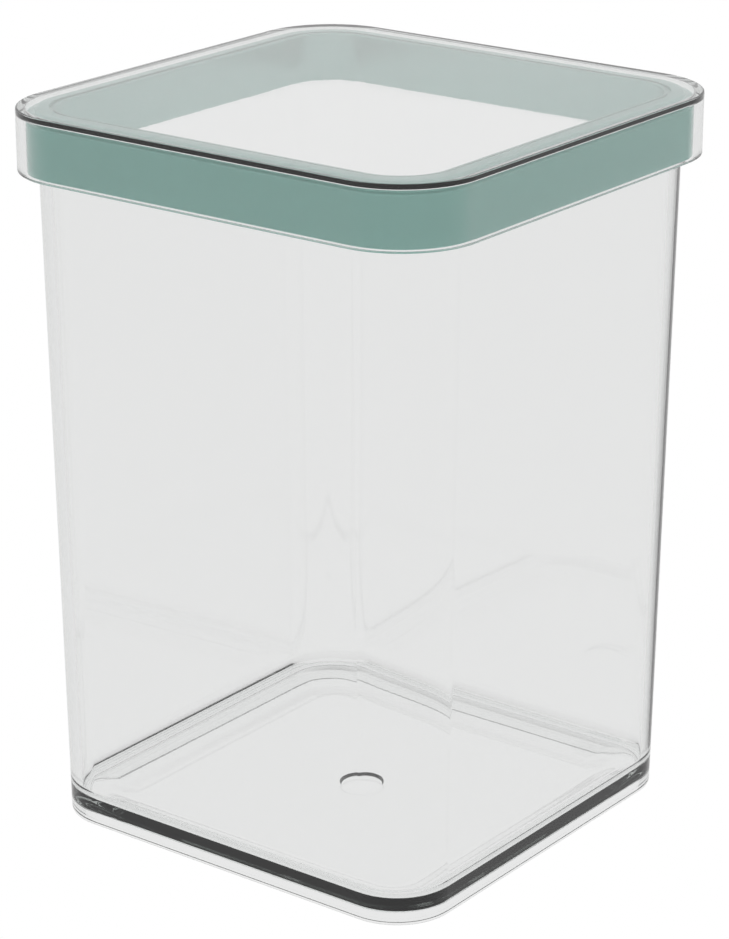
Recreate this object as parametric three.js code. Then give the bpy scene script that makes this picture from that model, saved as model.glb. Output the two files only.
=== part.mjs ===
// Square dry-food canister with a press-on lid. Millimetres, +Z up.
// The origin is the centre of the foot, on the table; the canister is square in plan and
// its flat sides face +X, -X, +Y and -Y.
//
// It is three moulded pieces:
//   container      clear rigid plastic, drafted walls, open at the top
//   lid_cover      clear rigid plastic, a flat plate with a skirt round it
//   sealing_ring   soft coloured plastic, held inside the lid and closed over the container's rim

import * as THREE from "three";
import { mergeVertices } from "three/addons/utils/BufferGeometryUtils.js";

// Whole canister
const TOTAL_HEIGHT = 141.5;
const LID_SIDE = 100;

// Container: outside
const FOOT_SIDE = 89;
const MOUTH_SIDE = 93.26;
const FOOT_CORNER = 11.8;
const MOUTH_CORNER = 13.5;
const RIM_HEIGHT = 137.8;
const WALL = 1.8;
const RIM_ROUNDING = 0.6;

// Container: base
const FLOOR_TOP = 4.4;
const FLOOR_FILLET = 2.4;
const RECESS_HEIGHT = 2.1;
const FOOT_WIDTH = 2.2;
const RECESS_CORNER = 10;
const RECESS_FILLET = 0.4;
const FOOT_EDGE = 0.3;
const DISH_SIDE = 66;
const DISH_CORNER = 5;
const DISH_DROP_TOP = 2.3;
const DISH_DROP_UNDER = 1.8;
const DISH_STEPS = 4;
const GATE_DIAMETER = 8;
const GATE_DEPTH = 0.5;
const GATE_EDGE = 0.3;

// Lid cover
const LID_CORNER = 15.8;
const LID_HEIGHT = 12.1;
const PLATE = 1.2;
const SKIRT = 1.6;
const LID_TOP_EDGE = 0.4;
const SKIRT_EDGE = 0.3;

// Sealing ring
const RING_CLEARANCE = 0.25;
const RING_FLANGE = 1.3;
const RING_SHOULDER_TOP = 139.3;
const RING_SHOULDER_SIDE = 92.8;
const RING_BAND = 1.1;
const RING_LIP = 1.4;
const RING_INNER_SIDE = 85.6;
const LIP_BOTTOM = 130.6;
const LIP_TAPER = 1;
const RING_BOTTOM = 129.7;
const BEAD = 0.3;
const BEAD_PITCH = 2;

// Facets of a quarter-circle, at the corners in plan and round an edge in section
const CORNER_STEPS = 8;
const EDGE_STEPS = 4;

// One level of a piece: a rounded square given by its half side, its corner radius and its height.
function level(half, corner, z) {
  return { half, corner: Math.min(half, Math.max(corner, 0.1)), z };
}

// The points of one level, anticlockwise seen from above. Every level has the same number of
// points, so neighbouring levels join point to point, from a circle to a wide rounded square.
function outline({ half, corner, z }) {
  const core = half - corner;
  const points = [];
  for (const [sideX, sideY, start] of [[1, 1, 0], [-1, 1, 1], [-1, -1, 2], [1, -1, 3]]) {
    for (let step = 0; step <= CORNER_STEPS; step++) {
      const angle = (start + step / CORNER_STEPS) * Math.PI / 2;
      points.push(new THREE.Vector3(
        sideX * core + corner * Math.cos(angle),
        sideY * core + corner * Math.sin(angle),
        z
      ));
    }
  }
  return points;
}

// A closed skin through the levels, in order. A bowl-like piece starts and ends on the axis, and
// gets a flat fan at both ends; a ring-like piece runs back to its first level. The levels run
// outwards along the underside, up the outside and back inwards along the top.
function skin(levels, ring = false) {
  const loops = levels.map(outline);
  const size = loops[0].length;
  const positions = loops.flat().flatMap((point) => point.toArray());
  const faces = [];
  const bands = ring ? loops.length : loops.length - 1;
  for (let band = 0; band < bands; band++) {
    const here = band * size;
    const next = ((band + 1) % loops.length) * size;
    for (let i = 0; i < size; i++) {
      const j = (i + 1) % size;
      faces.push([here + i, here + j, next + j], [here + i, next + j, next + i]);
    }
  }
  if (!ring) {
    const first = positions.length / 3;
    positions.push(0, 0, levels[0].z);
    const last = positions.length / 3;
    positions.push(0, 0, levels.at(-1).z);
    const lastLoop = (loops.length - 1) * size;
    for (let i = 0; i < size; i++) {
      const j = (i + 1) % size;
      faces.push([first, j, i], [last, lastLoop + i, lastLoop + j]);
    }
  }
  const geometry = new THREE.BufferGeometry();
  geometry.setAttribute("position", new THREE.Float32BufferAttribute(positions, 3));
  geometry.setIndex(faces.flat());
  const merged = mergeVertices(geometry, 1e-4);
  merged.setIndex(withoutFlatFaces(merged.getIndex().array));
  merged.computeVertexNormals();
  return merged;
}

// Drops the triangles that lost a side when the points of a full circle were merged.
function withoutFlatFaces(index) {
  const kept = [];
  for (let i = 0; i < index.length; i += 3) {
    const [a, b, c] = index.slice(i, i + 3);
    if (a !== b && b !== c && c !== a) {
      kept.push(a, b, c);
    }
  }
  return kept;
}

// A quarter-circle edge in section. The level starts at (half, z) and moves by `reach` in the
// half side and by `rise` in height; `outFirst` says which of the two it moves along first.
function roundedEdge(half, corner, z, reach, rise, outFirst) {
  const levels = [];
  for (let step = 0; step <= EDGE_STEPS; step++) {
    const angle = step / EDGE_STEPS * Math.PI / 2;
    const early = Math.sin(angle);
    const late = 1 - Math.cos(angle);
    const along = reach * (outFirst ? early : late);
    levels.push(level(half + along, corner + along, z + rise * (outFirst ? late : early)));
  }
  return levels;
}

// A soft slope between two levels, level with the flats at both its ends.
function slope(start, end) {
  const levels = [];
  for (let step = 0; step <= DISH_STEPS; step++) {
    const share = step / DISH_STEPS;
    const soft = (1 - Math.cos(Math.PI * share)) / 2;
    levels.push(level(
      THREE.MathUtils.lerp(start.half, end.half, share),
      THREE.MathUtils.lerp(start.corner, end.corner, share),
      THREE.MathUtils.lerp(start.z, end.z, soft)
    ));
  }
  return levels;
}

// The container's outer wall: its half side and its corner radius at a height.
function wallHalf(z) {
  return THREE.MathUtils.lerp(FOOT_SIDE, MOUTH_SIDE, z / RIM_HEIGHT) / 2;
}

function wallCorner(z) {
  return THREE.MathUtils.lerp(FOOT_CORNER, MOUTH_CORNER, z / RIM_HEIGHT);
}

// Container: a shallow recess inside the foot, a drafted wall with a rounded rim, a floor that
// meets the wall in a fillet and dishes softly down, and a round gate mark in its middle.
function containerGeometry() {
  const footInner = FOOT_SIDE / 2 - FOOT_WIDTH;
  const recessFlat = footInner - RECESS_FILLET;
  const dish = DISH_SIDE / 2;
  const dishTop = FLOOR_TOP - DISH_DROP_TOP;
  const gate = GATE_DIAMETER / 2;
  const gateFloor = dishTop - GATE_DEPTH;
  const rimShoulder = RIM_HEIGHT - RIM_ROUNDING;
  const rimHalf = wallHalf(rimShoulder);
  const rimCorner = wallCorner(rimShoulder);
  const filletTop = FLOOR_TOP + FLOOR_FILLET;
  const filletHalf = wallHalf(filletTop) - WALL;
  const filletCorner = wallCorner(filletTop) - WALL;
  return skin([
    ...slope(
      level(dish, DISH_CORNER, RECESS_HEIGHT - DISH_DROP_UNDER),
      level(recessFlat - FOOT_EDGE, RECESS_CORNER - RECESS_FILLET - FOOT_EDGE, RECESS_HEIGHT)
    ),
    ...roundedEdge(recessFlat, RECESS_CORNER - RECESS_FILLET, RECESS_HEIGHT,
      RECESS_FILLET, -RECESS_FILLET, true),
    level(footInner + FOOT_EDGE, RECESS_CORNER + FOOT_EDGE, 0),
    ...roundedEdge(FOOT_SIDE / 2 - FOOT_EDGE, FOOT_CORNER - FOOT_EDGE, 0, FOOT_EDGE, FOOT_EDGE, true),
    ...roundedEdge(rimHalf, rimCorner, rimShoulder, -RIM_ROUNDING, RIM_ROUNDING, false),
    ...roundedEdge(rimHalf - WALL + RIM_ROUNDING, rimCorner - WALL + RIM_ROUNDING, RIM_HEIGHT,
      -RIM_ROUNDING, -RIM_ROUNDING, true),
    ...roundedEdge(filletHalf, filletCorner, filletTop, -FLOOR_FILLET, -FLOOR_FILLET, false),
    ...slope(
      level(filletHalf - FLOOR_FILLET - FOOT_EDGE, filletCorner - FLOOR_FILLET - FOOT_EDGE, FLOOR_TOP),
      level(dish, DISH_CORNER, dishTop)
    ),
    level(gate + GATE_EDGE, gate + GATE_EDGE, dishTop),
    level(gate, gate, dishTop - GATE_EDGE),
    level(gate, gate, gateFloor + GATE_EDGE),
    level(gate - GATE_EDGE, gate - GATE_EDGE, gateFloor),
  ]);
}

// Lid cover: plate and skirt in one, with a rounded top edge and an eased lower edge.
function lidCoverGeometry() {
  const outer = LID_SIDE / 2;
  const inner = outer - SKIRT;
  const innerCorner = LID_CORNER - SKIRT;
  const bottom = TOTAL_HEIGHT - LID_HEIGHT;
  const plateUnderside = TOTAL_HEIGHT - PLATE;
  return skin([
    level(inner, innerCorner, plateUnderside),
    level(inner, innerCorner, bottom + SKIRT_EDGE),
    level(inner + SKIRT_EDGE, innerCorner + SKIRT_EDGE, bottom),
    level(outer - SKIRT_EDGE, LID_CORNER - SKIRT_EDGE, bottom),
    level(outer, LID_CORNER, bottom + SKIRT_EDGE),
    ...roundedEdge(outer, LID_CORNER, TOTAL_HEIGHT - LID_TOP_EDGE, -LID_TOP_EDGE, LID_TOP_EDGE, false),
  ]);
}

// Sealing ring: a flange under the plate with a lower shoulder round it, a band inside the
// skirt and a lip inside the container's mouth, with two beads round the lip that press on the wall. The band turns its
// corners about the lid's corner centres, and the lip about the mouth's.
function sealingRingGeometry() {
  const top = TOTAL_HEIGHT - PLATE;
  const channelTop = RING_SHOULDER_TOP - RING_FLANGE;
  const bandOuter = LID_SIDE / 2 - SKIRT - RING_CLEARANCE;
  const bandInner = bandOuter - RING_BAND;
  const lipInner = RING_INNER_SIDE / 2;
  const lipOuter = lipInner + RING_LIP;
  const band = (half, z) => level(half, half - (LID_SIDE / 2 - LID_CORNER), z);
  const lip = (half, z) => level(half, half - (MOUTH_SIDE / 2 - MOUTH_CORNER), z);
  const beads = [1, 2].flatMap((count) => {
    const middle = LIP_BOTTOM + LIP_TAPER + count * BEAD_PITCH;
    return [lip(lipOuter, middle - BEAD), lip(lipOuter + BEAD, middle), lip(lipOuter, middle + BEAD)];
  });
  return skin([
    lip(lipInner, LIP_BOTTOM),
    lip(lipOuter - LIP_TAPER / 2, LIP_BOTTOM),
    lip(lipOuter, LIP_BOTTOM + LIP_TAPER),
    ...beads,
    lip(lipOuter, channelTop),
    band(bandInner, channelTop),
    band(bandInner, RING_BOTTOM),
    band(bandOuter, RING_BOTTOM),
    band(bandOuter, RING_SHOULDER_TOP),
    band(RING_SHOULDER_SIDE / 2, RING_SHOULDER_TOP),
    band(RING_SHOULDER_SIDE / 2, top),
    lip(lipInner, top),
  ], true);
}

const clearPlastic = new THREE.MeshStandardMaterial({
  name: "clear_plastic", color: 0xe6ebea, roughness: 0.05, metalness: 0, transparent: true, opacity: 0.35,
});
const softSeal = new THREE.MeshStandardMaterial({
  name: "soft_seal", color: 0x5f9184, roughness: 0.4, metalness: 0,
});

function piece(name, geometry, material) {
  const mesh = new THREE.Mesh(geometry, material);
  mesh.name = name;
  return mesh;
}

const canister = new THREE.Group();
canister.name = "canister";
canister.add(piece("container", containerGeometry(), clearPlastic));

const lid = new THREE.Group();
lid.name = "lid";
lid.add(piece("lid_cover", lidCoverGeometry(), clearPlastic));
lid.add(piece("sealing_ring", sealingRingGeometry(), softSeal));
canister.add(lid);

export default canister;
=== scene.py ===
import math

import bpy
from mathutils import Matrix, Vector


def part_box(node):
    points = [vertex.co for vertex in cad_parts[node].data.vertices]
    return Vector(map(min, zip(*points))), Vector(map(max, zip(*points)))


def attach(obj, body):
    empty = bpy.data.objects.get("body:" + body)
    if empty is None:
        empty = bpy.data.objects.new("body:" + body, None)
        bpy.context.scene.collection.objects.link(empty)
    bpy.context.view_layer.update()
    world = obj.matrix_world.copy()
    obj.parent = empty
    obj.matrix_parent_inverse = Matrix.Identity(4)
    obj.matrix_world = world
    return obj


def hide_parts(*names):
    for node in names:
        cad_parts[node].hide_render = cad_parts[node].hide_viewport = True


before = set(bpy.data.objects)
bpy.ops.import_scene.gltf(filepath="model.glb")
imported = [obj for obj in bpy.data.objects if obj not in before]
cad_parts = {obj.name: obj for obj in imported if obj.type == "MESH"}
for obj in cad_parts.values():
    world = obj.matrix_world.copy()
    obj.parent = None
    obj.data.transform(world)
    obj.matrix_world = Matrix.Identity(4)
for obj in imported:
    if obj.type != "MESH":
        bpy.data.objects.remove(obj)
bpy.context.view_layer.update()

MM = 0.001


# ---- The view --------------------------------------------------------------------------------
# The canister is seen from a little above its front corner, from about arm's length, through a
# long lens. The camera aims at a point just below the canister's middle.
VIEW_AZIMUTH = math.radians(37.26)
VIEW_ELEVATION = math.radians(19.9)
VIEW_DISTANCE = 618.71 * MM
VIEW_TARGET = Vector((0.18, 0.14, 68.01)) * MM
VIEW_LENS = 123.05

towards_camera = Vector((
    math.sin(VIEW_AZIMUTH) * math.cos(VIEW_ELEVATION),
    -math.cos(VIEW_AZIMUTH) * math.cos(VIEW_ELEVATION),
    math.sin(VIEW_ELEVATION),
))
camera = bpy.data.objects.new("camera", bpy.data.cameras.new("camera"))
bpy.context.scene.collection.objects.link(camera)
bpy.context.scene.camera = camera
camera.location = VIEW_TARGET + towards_camera * VIEW_DISTANCE
camera.rotation_euler = towards_camera.to_track_quat("Z", "Y").to_euler()
camera.data.sensor_width = 36
camera.data.lens = VIEW_LENS
camera.data.clip_start = 0.01


# ---- Container -------------------------------------------------------------------------------
# The tall open box that holds the food. It is injection moulded in one shot of clear, rigid
# plastic, gated in the middle of the floor. The walls lean out so that it leaves the mould, and
# it stands on a narrow rim round a shallow recess.
body_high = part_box("container")[1]
RIM_HEIGHT = body_high[2]
MOUTH_HALF = body_high[0]
FOOT_HALF = 44.5 * MM
FOOT_CORNER = 11.8 * MM
MOUTH_CORNER = 13.5 * MM
WALL = 1.8 * MM
CORNER_FULLNESS = 0.4 * MM
RIM_ROUNDING = 0.6 * MM
FLOOR_TOP = 4.4 * MM
FLOOR_FILLET = 2.4 * MM
RECESS_HEIGHT = 2.1 * MM
RECESS_HALF = 42.3 * MM
RECESS_CORNER = 10 * MM
RECESS_FILLET = 0.4 * MM
FOOT_EDGE = 0.3 * MM
DISH_HALF = 33 * MM
DISH_CORNER = 5 * MM
TOP_DROP = 2.3 * MM
UNDER_DROP = 1.8 * MM
GATE_RADIUS = 4 * MM
GATE_DEPTH = 0.5 * MM
GATE_EDGE = 0.3 * MM
AXIS = 0.01 * MM
WELD_DISTANCE = 0.002 * MM
SHARP_ANGLE = math.radians(35)
FLATS_WEIGHT = 100
REFRACTIVE_INDEX = 1.57
SMOKE_COLOUR = (0.42, 0.46, 0.44, 1)
SMOKE_DENSITY = 40
CLEAR_RELIEF = 0.008 * MM


def edge(half, corner, z, reach, rise, out_first, steps=8):
    """The levels of a quarter-round edge, from (half, z), moving by reach and by rise."""
    levels = []
    for step in range(steps + 1):
        angle = step / steps * math.pi / 2
        early, late = math.sin(angle), 1 - math.cos(angle)
        along = reach * (early if out_first else late)
        up = rise * (late if out_first else early)
        levels.append((half + along, corner + along, z + up))
    return levels


def slope(start, end, steps=10):
    """The levels of a soft slope between two levels, level with the flats at both its ends."""
    levels = []
    for step in range(steps + 1):
        share = step / steps
        soft = (1 - math.cos(math.pi * share)) / 2
        half, corner = (a + (b - a) * share for a, b in zip(start[:2], end[:2]))
        levels.append((half, corner, start[2] + (end[2] - start[2]) * soft))
    return levels


def maths_in(tree):
    """A maths(operation, first, second) that adds a maths node to the tree."""
    def maths(operation, first, second=0.0):
        node = tree.nodes.new("ShaderNodeMath")
        node.operation = operation
        for socket, value in zip(node.inputs, (first, second)):
            if isinstance(value, (int, float)):
                socket.default_value = value
            else:
                tree.links.new(value, socket)
        return node.outputs[0]
    return maths


def rounded_square_tree():
    """A Geometry Nodes tree that turns a section into a skin round a rounded square.

    The section is a chain of points. Each holds a half side in x, a corner radius in y and a
    height in z, and becomes one level. The columns go round the four corners, anticlockwise."""
    tree = bpy.data.node_groups.new("rounded_square_skin", "GeometryNodeTree")
    face = tree.interface
    face.new_socket("Section", in_out="INPUT", socket_type="NodeSocketGeometry")
    for name, kind, value in (("Levels", "NodeSocketInt", 2), ("Corner Steps", "NodeSocketInt", 16)):
        face.new_socket(name, in_out="INPUT", socket_type=kind).default_value = value
    face.new_socket("Material", in_out="INPUT", socket_type="NodeSocketMaterial")
    face.new_socket("Skin", in_out="OUTPUT", socket_type="NodeSocketGeometry")
    nodes, link = tree.nodes, tree.links.new
    given = nodes.new("NodeGroupInput")
    maths = maths_in(tree)

    corner_points = maths("ADD", given.outputs["Corner Steps"], 1)
    columns = maths("MULTIPLY_ADD", corner_points, 4)
    columns.node.inputs[2].default_value = 1
    grid = nodes.new("GeometryNodeMeshGrid")
    link(columns, grid.inputs["Vertices X"])
    link(given.outputs["Levels"], grid.inputs["Vertices Y"])
    index = nodes.new("GeometryNodeInputIndex").outputs[0]
    column = maths("FLOOR", maths("DIVIDE", index, given.outputs["Levels"]))
    level = maths("SUBTRACT", index, maths("MULTIPLY", column, given.outputs["Levels"]))
    column = maths("MODULO", column, maths("SUBTRACT", columns, 1))
    quarter = maths("FLOOR", maths("DIVIDE", column, corner_points))
    step = maths("SUBTRACT", column, maths("MULTIPLY", quarter, corner_points))
    turn = maths("ADD", quarter, maths("DIVIDE", step, given.outputs["Corner Steps"]))
    angle = maths("MULTIPLY", turn, math.pi / 2)
    middle = maths("MULTIPLY", maths("ADD", quarter, 0.5), math.pi / 2)

    place = nodes.new("GeometryNodeInputPosition")
    read = nodes.new("GeometryNodeSampleIndex")
    read.data_type = "FLOAT_VECTOR"
    link(given.outputs["Section"], read.inputs["Geometry"])
    link(place.outputs[0], read.inputs["Value"])
    link(level, read.inputs["Index"])
    parts = nodes.new("ShaderNodeSeparateXYZ")
    link(read.outputs[0], parts.inputs[0])
    half, corner, height = parts.outputs
    core = maths("SUBTRACT", half, corner)
    join = nodes.new("ShaderNodeCombineXYZ")
    for socket, wave in (("X", "COSINE"), ("Y", "SINE")):
        side = maths("SIGN", maths(wave, middle))
        out = maths("MULTIPLY", corner, maths(wave, angle))
        link(maths("ADD", maths("MULTIPLY", side, core), out), join.inputs[socket])
    link(height, join.inputs["Z"])

    shape = nodes.new("GeometryNodeSetPosition")
    link(grid.outputs["Mesh"], shape.inputs["Geometry"])
    link(join.outputs[0], shape.inputs["Position"])
    weld = nodes.new("GeometryNodeMergeByDistance")
    weld.inputs["Distance"].default_value = WELD_DISTANCE
    link(shape.outputs[0], weld.inputs["Geometry"])
    real = nodes.new("GeometryNodeRealizeInstances")
    link(weld.outputs[0], real.inputs[0])
    paint = nodes.new("GeometryNodeSetMaterial")
    link(real.outputs[0], paint.inputs["Geometry"])
    link(given.outputs["Material"], paint.inputs["Material"])
    link(paint.outputs[0], nodes.new("NodeGroupOutput").inputs[0])
    return tree


rounded_square_skin = rounded_square_tree()


def moulded(name, levels, material, corner_steps=16):
    """A closed piece from its levels, with normals that follow its flats up to their edges."""
    chain = bpy.data.meshes.new(name + "_section")
    chain.from_pydata(levels, [(i, i + 1) for i in range(len(levels) - 1)], [])
    section = bpy.data.objects.new(name + "_section", chain)
    bpy.context.scene.collection.objects.link(section)
    skin = section.modifiers.new("skin", "NODES")
    skin.node_group = rounded_square_skin
    values = {"Levels": len(levels), "Corner Steps": corner_steps, "Material": material}
    for item in rounded_square_skin.interface.items_tree:
        if item.name in values:
            skin[item.identifier] = values[item.name]
    graph = bpy.context.evaluated_depsgraph_get()
    mesh = bpy.data.meshes.new_from_object(section.evaluated_get(graph))
    section.modifiers.remove(skin)
    bpy.data.objects.remove(section)
    mesh.name = name
    mesh.shade_smooth()
    mesh.set_sharp_from_angle(angle=SHARP_ANGLE)
    piece = bpy.data.objects.new(name, mesh)
    bpy.context.scene.collection.objects.link(piece)
    weight = piece.modifiers.new("flats_first", "WEIGHTED_NORMAL")
    weight.weight = FLATS_WEIGHT
    weight.keep_sharp = True
    return piece


def wall_half(z):
    """Half the side of the container's outside at a height."""
    return FOOT_HALF + (MOUTH_HALF - FOOT_HALF) * z / RIM_HEIGHT


def wall_corner(z):
    """The radius of the container's outside corners at a height."""
    return FOOT_CORNER + (MOUTH_CORNER - FOOT_CORNER) * z / RIM_HEIGHT


def moulded_surface_group():
    """The faint unevenness of a moulded surface: its tone, its gloss and its relief.

    Two noises fixed to the piece, one slow and one fine, drive all three. Tone and Roughness go
    up and down from the values given, and Height runs from 0 to 1."""
    tree = bpy.data.node_groups.new("moulded_surface", "ShaderNodeTree")
    face = tree.interface
    face.new_socket("Colour", in_out="INPUT", socket_type="NodeSocketColor")
    for name in ("Tone Change", "Roughness", "Roughness Change", "Slow Scale", "Fine Scale", "Fine Share"):
        face.new_socket(name, in_out="INPUT", socket_type="NodeSocketFloat")
    face.new_socket("Colour", in_out="OUTPUT", socket_type="NodeSocketColor")
    for name in ("Roughness", "Height"):
        face.new_socket(name, in_out="OUTPUT", socket_type="NodeSocketFloat")
    nodes, link = tree.nodes, tree.links.new
    maths = maths_in(tree)
    given = nodes.new("NodeGroupInput").outputs
    place = nodes.new("ShaderNodeTexCoord").outputs["Object"]
    noises = []
    for name, detail in (("Slow Scale", 1.0), ("Fine Scale", 2.0)):
        noise = nodes.new("ShaderNodeTexNoise")
        noise.inputs["Detail"].default_value = detail
        link(place, noise.inputs["Vector"])
        link(given[name], noise.inputs["Scale"])
        noises.append(noise.outputs["Fac"])
    slow, fine = noises
    fine_part = maths("MULTIPLY", maths("SUBTRACT", fine, slow), given["Fine Share"])
    relief = maths("ADD", slow, fine_part)
    swing = maths("SUBTRACT", relief, 0.5)
    tone = maths("ADD", 1.0, maths("MULTIPLY", swing, given["Tone Change"]))
    tinted = nodes.new("ShaderNodeVectorMath")
    tinted.operation = "SCALE"
    link(given["Colour"], tinted.inputs[0])
    link(tone, tinted.inputs["Scale"])
    rough = maths("ADD", given["Roughness"], maths("MULTIPLY", swing, given["Roughness Change"]))
    result = nodes.new("NodeGroupOutput").inputs
    link(tinted.outputs[0], result["Colour"])
    link(maths("MAXIMUM", rough, 0.0), result["Roughness"])
    link(relief, result["Height"])
    return tree


moulded_surface = moulded_surface_group()


def surface_on(material, values, depth):
    """Gives a material's shader the moulded surface, with relief of the depth given."""
    tree = material.node_tree
    shader = tree.nodes["Principled BSDF"]
    surface = tree.nodes.new("ShaderNodeGroup")
    surface.node_tree = moulded_surface
    for name, value in values.items():
        surface.inputs[name].default_value = value
    tree.links.new(surface.outputs["Colour"], shader.inputs["Base Color"])
    tree.links.new(surface.outputs["Roughness"], shader.inputs["Roughness"])
    bump = tree.nodes.new("ShaderNodeBump")
    bump.inputs["Distance"].default_value = depth
    tree.links.new(surface.outputs["Height"], bump.inputs["Height"])
    tree.links.new(bump.outputs["Normal"], shader.inputs["Normal"])


def clear_plastic(name, values):
    """The clear, hard, faintly smoky plastic, with the surface values of one piece."""
    material = bpy.data.materials.new(name)
    material.use_nodes = True
    shader = material.node_tree.nodes["Principled BSDF"]
    shader.inputs["Metallic"].default_value = 0
    shader.inputs["Transmission Weight"].default_value = 1
    shader.inputs["IOR"].default_value = REFRACTIVE_INDEX
    fog = material.node_tree.nodes.new("ShaderNodeVolumeAbsorption")
    fog.inputs["Color"].default_value = SMOKE_COLOUR
    fog.inputs["Density"].default_value = SMOKE_DENSITY
    out = material.node_tree.nodes["Material Output"]
    material.node_tree.links.new(fog.outputs[0], out.inputs["Volume"])
    surface_on(material, values, CLEAR_RELIEF)
    return material


body_clear = clear_plastic("body_clear", {
    "Colour": (1, 1, 1, 1),
    "Tone Change": 0.01,
    "Roughness": 0.008,
    "Roughness Change": 0.03,
    "Slow Scale": 45,
    "Fine Scale": 320,
    "Fine Share": 0.1,
})

shoulder = RIM_HEIGHT - RIM_ROUNDING
rim_half, rim_corner = wall_half(shoulder), wall_corner(shoulder)
fillet_top = FLOOR_TOP + FLOOR_FILLET
fillet_half = wall_half(fillet_top) - WALL
fillet_corner = wall_corner(fillet_top) - WALL + CORNER_FULLNESS
floor_half = fillet_half - FLOOR_FILLET - FOOT_EDGE
floor_corner = fillet_corner - FLOOR_FILLET - FOOT_EDGE
recess_half = RECESS_HALF - RECESS_FILLET
recess_corner = RECESS_CORNER - RECESS_FILLET
dish_top, dish_under = FLOOR_TOP - TOP_DROP, RECESS_HEIGHT - UNDER_DROP
gate_floor = dish_top - GATE_DEPTH
container_levels = [
    (AXIS, AXIS, dish_under),
    *slope((DISH_HALF, DISH_CORNER, dish_under), (recess_half - FOOT_EDGE, recess_corner - FOOT_EDGE,
                                                  RECESS_HEIGHT)),
    *edge(recess_half, recess_corner, RECESS_HEIGHT, RECESS_FILLET, -RECESS_FILLET, True),
    *edge(RECESS_HALF, RECESS_CORNER, FOOT_EDGE, FOOT_EDGE, -FOOT_EDGE, False, 5),
    *edge(FOOT_HALF - FOOT_EDGE, FOOT_CORNER - FOOT_EDGE, 0, FOOT_EDGE, FOOT_EDGE, True, 5),
    *edge(rim_half, rim_corner, shoulder, -RIM_ROUNDING, RIM_ROUNDING, False, 5),
    *edge(rim_half - WALL + RIM_ROUNDING, rim_corner - WALL + RIM_ROUNDING + CORNER_FULLNESS,
          RIM_HEIGHT, -RIM_ROUNDING, -RIM_ROUNDING, True, 5),
    *edge(fillet_half, fillet_corner, fillet_top, -FLOOR_FILLET, -FLOOR_FILLET, False),
    *slope((floor_half, floor_corner, FLOOR_TOP), (DISH_HALF, DISH_CORNER, dish_top)),
    *edge(GATE_RADIUS + GATE_EDGE, GATE_RADIUS + GATE_EDGE, dish_top, -GATE_EDGE, -GATE_EDGE, True, 4),
    *edge(GATE_RADIUS, GATE_RADIUS, gate_floor + GATE_EDGE, -GATE_EDGE, -GATE_EDGE, False, 4),
    (AXIS, AXIS, gate_floor),
]
container = moulded("canister_body", container_levels, body_clear)
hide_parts("container")
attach(container, "container")


# ---- Lid cover -------------------------------------------------------------------------------
# The clear top of the lid, a flat plate with a skirt as deep as the coloured ring behind it. It
# is moulded in the same rigid plastic as the container, and its top edge is rounded.
cover_low, cover_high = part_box("lid_cover")
LID_TOP = cover_high[2]
LID_HALF = cover_high[0]
LID_BOTTOM = cover_low[2]
LID_CORNER = 15.8 * MM
PLATE = 1.2 * MM
SKIRT = 1.6 * MM
LID_TOP_EDGE = 0.4 * MM
SKIRT_EDGE = 0.35 * MM
UNDER_PLATE_FILLET = 0.3 * MM

lid_clear = clear_plastic("lid_clear", {
    "Colour": (1, 1, 1, 1),
    "Tone Change": 0.01,
    "Roughness": 0.01,
    "Roughness Change": 0.04,
    "Slow Scale": 60,
    "Fine Scale": 420,
    "Fine Share": 0.15,
})
skirt_half, skirt_corner = LID_HALF - SKIRT, LID_CORNER - SKIRT
under_plate = LID_TOP - PLATE
cover_levels = [
    (AXIS, AXIS, under_plate),
    *edge(skirt_half - UNDER_PLATE_FILLET, skirt_corner - UNDER_PLATE_FILLET, under_plate,
          UNDER_PLATE_FILLET, -UNDER_PLATE_FILLET, True, 4),
    *edge(skirt_half, skirt_corner, LID_BOTTOM + SKIRT_EDGE, SKIRT_EDGE, -SKIRT_EDGE, False, 4),
    *edge(LID_HALF - SKIRT_EDGE, LID_CORNER - SKIRT_EDGE, LID_BOTTOM, SKIRT_EDGE, SKIRT_EDGE, True, 4),
    *edge(LID_HALF, LID_CORNER, LID_TOP - LID_TOP_EDGE, -LID_TOP_EDGE, LID_TOP_EDGE, False),
    (AXIS, AXIS, LID_TOP),
]
cover = moulded("lid_plate", cover_levels, lid_clear)
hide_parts("lid_cover")
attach(cover, "lid")


# ---- Sealing ring ----------------------------------------------------------------------------
# The coloured ring inside the lid, moulded in a soft, satin plastic. Its flange lies under the
# plate and has a fine groove round its top. Its band fills the skirt, and its lip, which has two
# fine beads, goes down into the container's mouth.
ring_low, ring_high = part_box("sealing_ring")
PLATE_GAP = 0.06 * MM
RING_TOP = LID_TOP - PLATE - PLATE_GAP
SHOULDER_TOP = 139.3 * MM
SHOULDER_HALF = 46.4 * MM
RING_BOTTOM = ring_low[2]
BAND_OUTER = ring_high[0]
FLANGE = 1.3 * MM
BAND = 1.1 * MM
LIP_INNER = 42.8 * MM
LIP = 1.4 * MM
LIP_BOTTOM = 130.6 * MM
LIP_TAPER = 1 * MM
BEAD = 0.3 * MM
BEAD_PITCH = 2 * MM
BAND_EDGE = 0.4 * MM
GROOVE_OUTER = 44.25 * MM
GROOVE_INNER = 43.55 * MM
GROOVE_DEPTH = 0.5 * MM
LEDGE_DROP = 0.1 * MM
INNER_EDGE = 0.4 * MM

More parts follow.
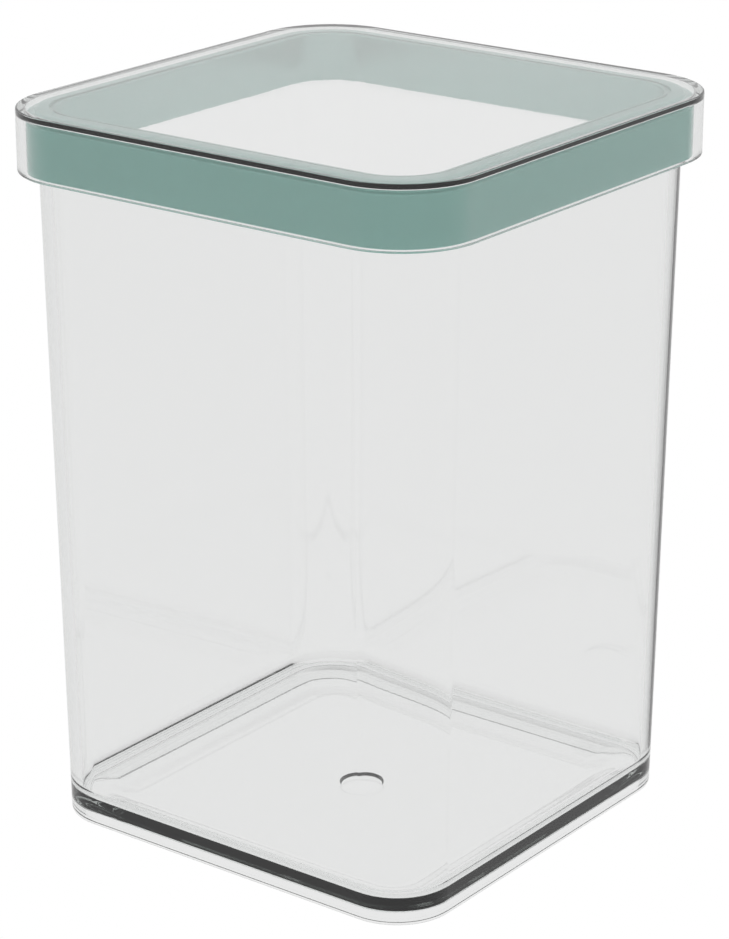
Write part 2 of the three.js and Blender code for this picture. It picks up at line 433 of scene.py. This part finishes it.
soft_seal = bpy.data.materials.new("soft_seal")
soft_seal.use_nodes = True
seal_shader = soft_seal.node_tree.nodes["Principled BSDF"]
SEAL_COLOUR = (0.245, 0.51, 0.45, 1)
SEAL_METALLIC = 0.37
SEAL_ROUGHNESS = 0.22
SEAL_RELIEF = 0.012 * MM
seal_shader.inputs["Metallic"].default_value = SEAL_METALLIC
surface_on(soft_seal, {
    "Colour": SEAL_COLOUR,
    "Tone Change": 0.12,
    "Roughness": SEAL_ROUGHNESS,
    "Roughness Change": 0.2,
    "Slow Scale": 90,
    "Fine Scale": 1800,
    "Fine Share": 0.6,
}, SEAL_RELIEF)

channel_top = SHOULDER_TOP - FLANGE
band_inner = BAND_OUTER - BAND
lip_outer = LIP_INNER + LIP


def band(half, z):
    """A level of the ring's band, whose corners follow the lid's."""
    return (half, half - (LID_HALF - LID_CORNER), z)


def lip(half, z):
    """A level of the ring's lip, whose corners follow the container's mouth."""
    return (half, half - (MOUTH_HALF - MOUTH_CORNER), z)


ring_levels = [
    lip(LIP_INNER, LIP_BOTTOM + LIP_TAPER / 2),
    lip(LIP_INNER + LIP_TAPER / 4, LIP_BOTTOM),
    lip(lip_outer - LIP_TAPER / 2, LIP_BOTTOM),
    lip(lip_outer, LIP_BOTTOM + LIP_TAPER),
]
for bead in (1, 2):
    bead_middle = LIP_BOTTOM + LIP_TAPER + bead * BEAD_PITCH
    for step in range(9):
        angle = math.pi * step / 8
        out, down = BEAD * math.sin(angle), BEAD * math.cos(angle)
        ring_levels.append(lip(lip_outer + out, bead_middle - down))
ring_levels += [
    lip(lip_outer, channel_top),
    band(band_inner, channel_top),
    band(band_inner, RING_BOTTOM),
    *edge(*band(BAND_OUTER - BAND_EDGE, RING_BOTTOM), BAND_EDGE, BAND_EDGE, True, 4),
    *edge(*band(BAND_OUTER, SHOULDER_TOP - BAND_EDGE), -BAND_EDGE, BAND_EDGE, False, 4),
    *edge(*band(SHOULDER_HALF + BAND_EDGE, SHOULDER_TOP), -BAND_EDGE, BAND_EDGE, True, 4),
    *edge(*band(SHOULDER_HALF, RING_TOP - BAND_EDGE), -BAND_EDGE, BAND_EDGE, False, 4),
    lip(GROOVE_OUTER, RING_TOP),
    lip(GROOVE_OUTER, RING_TOP - GROOVE_DEPTH),
    lip(GROOVE_INNER, RING_TOP - GROOVE_DEPTH),
    lip(GROOVE_INNER, RING_TOP - LEDGE_DROP),
    *edge(*lip(LIP_INNER + INNER_EDGE, RING_TOP - LEDGE_DROP), -INNER_EDGE, -INNER_EDGE, True, 5),
    lip(LIP_INNER, LIP_BOTTOM + LIP_TAPER / 2),
]
ring = moulded("lid_seal_ring", ring_levels, soft_seal)
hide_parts("sealing_ring")
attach(ring, "lid")


# ---- Studio ----------------------------------------------------------------------------------
# A plain pale floor under a plain pale sky. Each glows evenly, with one brightness everywhere, and
# lights the canister softly from all round. Seen directly by the camera, both are white.
FLOOR_LIGHT = 0.85
SKY_LIGHT = 0.87


def white_to_camera(tree, shader, glow, output):
    """Shows plain white to the camera, and the shader to light and to reflections."""
    glow.inputs["Color"].default_value = (1, 1, 1, 1)
    ray = tree.nodes.new("ShaderNodeLightPath")
    mix = tree.nodes.new("ShaderNodeMixShader")
    tree.links.new(ray.outputs["Is Camera Ray"], mix.inputs["Fac"])
    tree.links.new(shader.outputs[0], mix.inputs[1])
    tree.links.new(glow.outputs[0], mix.inputs[2])
    tree.links.new(mix.outputs[0], output.inputs["Surface"])


floor_mesh = bpy.data.meshes.new("studio_floor")
floor_mesh.from_pydata([(-4, -4, 0), (4, -4, 0), (4, 4, 0), (-4, 4, 0)], [], [(0, 1, 2, 3)])
studio_floor = bpy.data.objects.new("studio_floor", floor_mesh)
bpy.context.scene.collection.objects.link(studio_floor)
floor_pale = bpy.data.materials.new("floor_pale")
floor_pale.use_nodes = True
floor_tree = floor_pale.node_tree
floor_tree.nodes.remove(floor_tree.nodes["Principled BSDF"])
floor_glow = floor_tree.nodes.new("ShaderNodeEmission")
floor_glow.inputs["Color"].default_value = (1, 1, 1, 1)
floor_glow.inputs["Strength"].default_value = FLOOR_LIGHT
white_to_camera(floor_tree, floor_glow, floor_tree.nodes.new("ShaderNodeEmission"),
                floor_tree.nodes["Material Output"])
floor_mesh.materials.append(floor_pale)

world = bpy.data.worlds.new("studio")
bpy.context.scene.world = world
world.use_nodes = True
sky_tree = world.node_tree
sky = sky_tree.nodes["Background"]
sky.inputs["Color"].default_value = (1, 1, 1, 1)
sky.inputs["Strength"].default_value = SKY_LIGHT
white_to_camera(sky_tree, sky, sky_tree.nodes.new("ShaderNodeBackground"),
                sky_tree.nodes["World Output"])
bpy.context.scene.view_settings.view_transform = "Standard"
